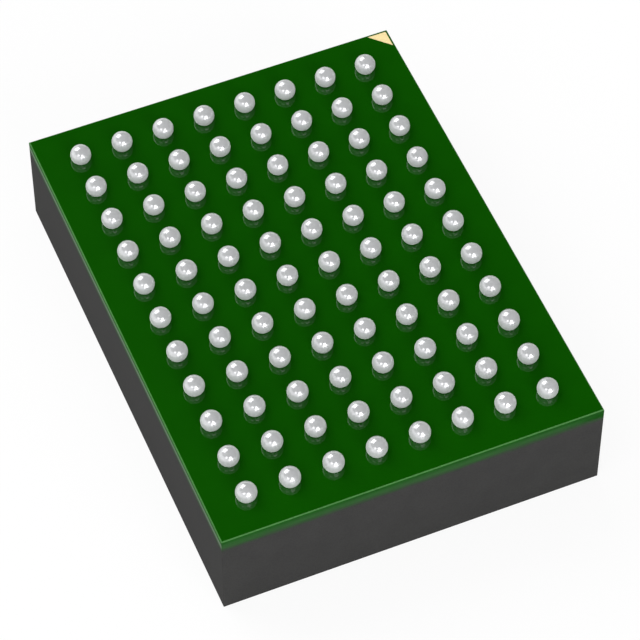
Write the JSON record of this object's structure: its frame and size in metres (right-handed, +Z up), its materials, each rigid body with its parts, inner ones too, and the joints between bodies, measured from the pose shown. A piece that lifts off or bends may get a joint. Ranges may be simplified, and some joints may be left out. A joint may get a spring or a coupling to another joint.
{
  "type": "ball grid array chip package",
  "caption": "Overmoulded ball grid array package lying balls up: dark moulding compound, green substrate, a full grid of solder balls and a gold corner mark.",
  "frame": {"origin": "centre of the moulded outer face that the package lies on", "axes": "+X along the short side towards the corner mark, +Y along the long side towards the corner mark, +Z up through the substrate to the solder balls"},
  "size_m": [0.0112, 0.015, 0.0036],
  "materials": {
    "moulding_compound": "matt dark grey epoxy moulding compound, sawn sides",
    "laminate": "dark green glass and resin laminate, sawn edge",
    "solder_mask": "smooth dark green solder mask",
    "copper": "bare copper",
    "gold_plate": "pale gold plating, satin",
    "silicon": "ground silicon",
    "die_adhesive": "cured adhesive film",
    "gold_wire": "drawn gold wire",
    "solder": "bright reflowed solder with a soft sheen"
  },
  "bodies": {
    "root": {"mould_cap": "moulding_compound", "substrate_core": "laminate", "solder_mask_ball_side": "solder_mask", "solder_mask_die_side": "solder_mask", "ball_pads": "copper", "corner_mark": "gold_plate", "die": "silicon", "die_attach": "die_adhesive", "bond_wires_left": "gold_wire", "bond_wires_right": "gold_wire", "solder_balls_row_a": "solder", "solder_balls_row_b": "solder", "solder_balls_row_c": "solder", "solder_balls_row_d": "solder", "solder_balls_row_e": "solder", "solder_balls_row_f": "solder", "solder_balls_row_g": "solder", "solder_balls_row_h": "solder", "solder_balls_row_j": "solder", "solder_balls_row_k": "solder", "solder_balls_row_l": "solder"}
  },
  "joints": []
}
